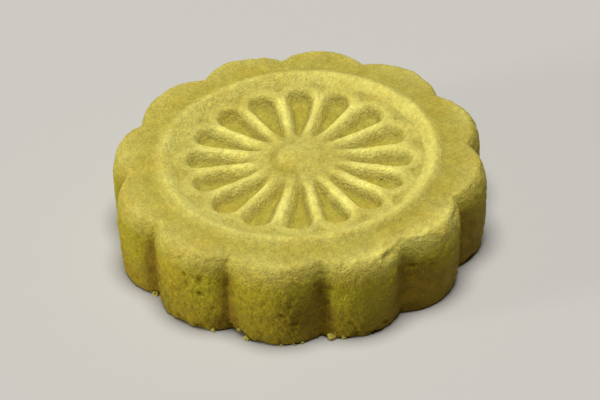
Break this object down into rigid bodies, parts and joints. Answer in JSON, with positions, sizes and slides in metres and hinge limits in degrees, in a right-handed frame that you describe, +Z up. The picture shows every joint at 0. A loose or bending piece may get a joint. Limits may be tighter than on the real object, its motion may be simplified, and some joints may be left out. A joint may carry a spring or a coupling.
{
  "type": "mooncake",
  "caption": "Small round pressed mooncake with a fluted side, a raised ring on its top and a wheel of narrow petals round a central boss.",
  "frame": {"origin": "centre of the flat underside", "axes": "+Z up through the pressed top; -Y is the side towards the viewer of the picture, +X is on the viewer's right"},
  "size_m": [0.0496, 0.0505, 0.0131],
  "materials": {
    "paste": "matte"
  },
  "bodies": {
    "root": {"mooncake": "paste"}
  },
  "joints": []
}
